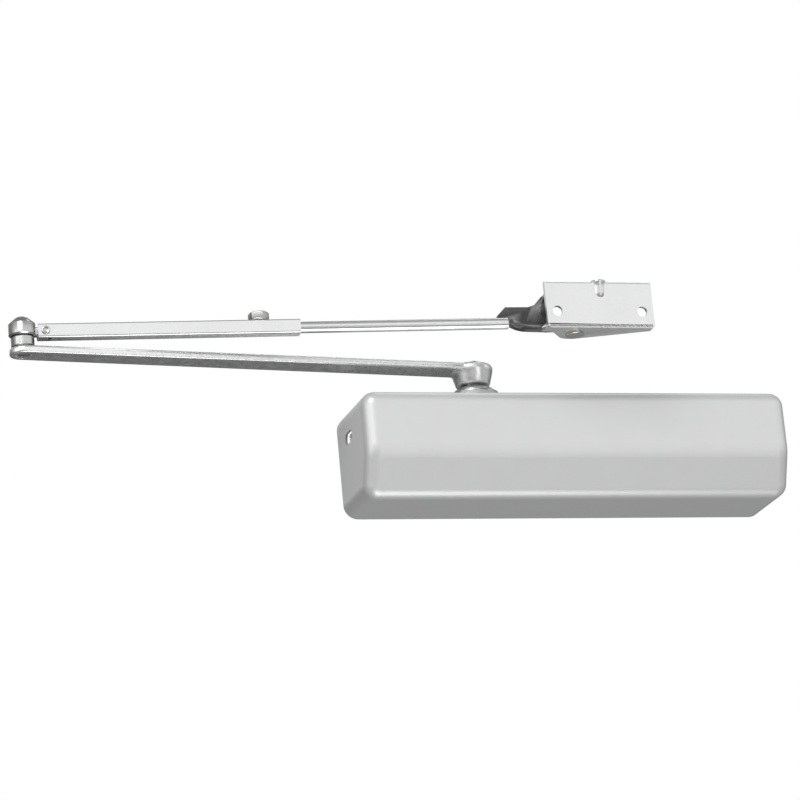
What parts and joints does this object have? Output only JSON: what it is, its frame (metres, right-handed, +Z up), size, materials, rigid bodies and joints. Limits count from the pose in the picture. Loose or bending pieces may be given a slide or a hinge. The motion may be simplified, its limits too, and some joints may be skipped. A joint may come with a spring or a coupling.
{
  "type": "door closer",
  "caption": "Surface-mounted hydraulic door closer: rack-and-pinion body under a full silver cover, with a folding double-lever arm and a drilled frame shoe.",
  "frame": {"origin": "centre of the four body screw holes, on the door face", "axes": "+X along the body towards the spring end, +Y into the door, +Z up"},
  "size_m": [0.5555, 0.1174, 0.1378],
  "materials": {
    "body_paint": "silver enamel on a cast body",
    "cover_paint": "satin aluminium-coloured enamel",
    "arm_paint": "silver enamel over a forged surface",
    "tube_paint": "smooth silver enamel",
    "shoe_paint": "smooth light silver enamel",
    "link_steel": "dark plated sheet steel",
    "machined_steel": "turned steel",
    "zinc_steel": "zinc plated",
    "spring_steel": "oiled spring steel",
    "hard_steel": "ground hardened steel",
    "seal_rubber": "nitrile rubber",
    "black_nylon": "moulded nylon"
  },
  "bodies": {
    "closer_body": {"body_casting": "body_paint", "cover": "cover_paint", "cover_screws": "zinc_steel", "left_end_plug": "machined_steel", "right_end_plug": "machined_steel", "upper_bearing": "hard_steel", "lower_bearing": "hard_steel", "pinion_gland": "machined_steel", "pinion_seal": "seal_rubber", "closing_spring": "spring_steel"},
    "main_arm": {"pinion_shaft": "hard_steel", "main_arm": "arm_paint", "arm_screw": "zinc_steel", "arm_washer": "zinc_steel", "elbow_stud": "machined_steel", "elbow_washer": "black_nylon"},
    "piston": {"piston": "hard_steel", "piston_seals": "seal_rubber"},
    "adjusting_screw": {"adjusting_screw": "zinc_steel"},
    "spring_seat": {"spring_seat": "machined_steel"},
    "closing_valve": {"closing_valve_screw": "zinc_steel"},
    "latching_valve": {"latching_valve_screw": "zinc_steel"},
    "backcheck_valve": {"backcheck_valve_screw": "zinc_steel"},
    "elbow_knuckle": {"elbow_knuckle": "machined_steel"},
    "forearm_tube": {"forearm_tube": "tube_paint", "knuckle_pin": "zinc_steel"},
    "clamp_screw": {"clamp_screw": "zinc_steel"},
    "forearm_rod": {"forearm_rod": "tube_paint", "rod_link": "link_steel", "shoe_rivet": "zinc_steel"},
    "shoe": {"shoe_bracket": "shoe_paint"}
  },
  "joints": [
    {"name": "spindle_turn", "type": "hinge", "parent": "closer_body", "child": "main_arm", "pos_m": [-0.0637, -0.033, 0], "axis": [0, 0, 1], "range_deg": [-6, 150], "stiffness_Nm_per_rad": 2},
    {"name": "piston_slide", "type": "slide", "parent": "closer_body", "child": "piston", "axis": [1, 0, 0], "range_m": [-0.0015, 0.028], "deforming": ["closing_spring"]},
    {"name": "preload_turn", "type": "hinge", "parent": "closer_body", "child": "adjusting_screw", "pos_m": [0.108, -0.033, 0], "axis": [1, 0, 0], "range_deg": [0, 1440]},
    {"name": "seat_slide", "type": "slide", "parent": "closer_body", "child": "spring_seat", "axis": [-1, 0, 0], "range_m": [0, 0.006], "deforming": ["closing_spring"]},
    {"name": "closing_valve_turn", "type": "hinge", "parent": "closer_body", "child": "closing_valve", "pos_m": [-0.118, -0.056, 0.015], "axis": [0, 1, 0], "range_deg": [0, 360]},
    {"name": "latching_valve_turn", "type": "hinge", "parent": "closer_body", "child": "latching_valve", "pos_m": [-0.102, -0.056, 0.015], "axis": [0, 1, 0], "range_deg": [0, 360]},
    {"name": "backcheck_valve_turn", "type": "hinge", "parent": "closer_body", "child": "backcheck_valve", "pos_m": [-0.02, -0.056, 0.015], "axis": [0, 1, 0], "range_deg": [0, 360]},
    {"name": "elbow_turn", "type": "hinge", "parent": "main_arm", "child": "elbow_knuckle", "pos_m": [-0.38989, -0.06642, 0.0756], "axis": [0, 0, 1], "range_deg": [-40, 170]},
    {"name": "forearm_tilt", "type": "hinge", "parent": "elbow_knuckle", "child": "forearm_tube", "pos_m": [-0.37455, -0.06773, 0.0756], "axis": [0.0852, 0.9964, 0], "range_deg": [-4, 4]},
    {"name": "clamp_turn", "type": "hinge", "parent": "forearm_tube", "child": "clamp_screw", "pos_m": [-0.22888, -0.0802, 0.08055], "axis": [0, 0, 1], "range_deg": [0, 360]},
    {"name": "rod_slide", "type": "slide", "parent": "forearm_tube", "child": "forearm_rod", "axis": [0.9964, -0.0852, 0], "range_m": [-0.075, 0.035]},
    {"name": "shoe_turn", "type": "hinge", "parent": "forearm_rod", "child": "shoe", "pos_m": [-0.00908, -0.099, 0.0674], "axis": [0, 0, 1], "range_deg": [-10, 150]}
  ],
  "couplings": [
    {"joint": "piston_slide", "follows": "spindle_turn", "m_per_rad": 0.0105},
    {"joint": "preload_turn", "follows": "seat_slide", "rad_per_m": 4188.8}
  ]
}
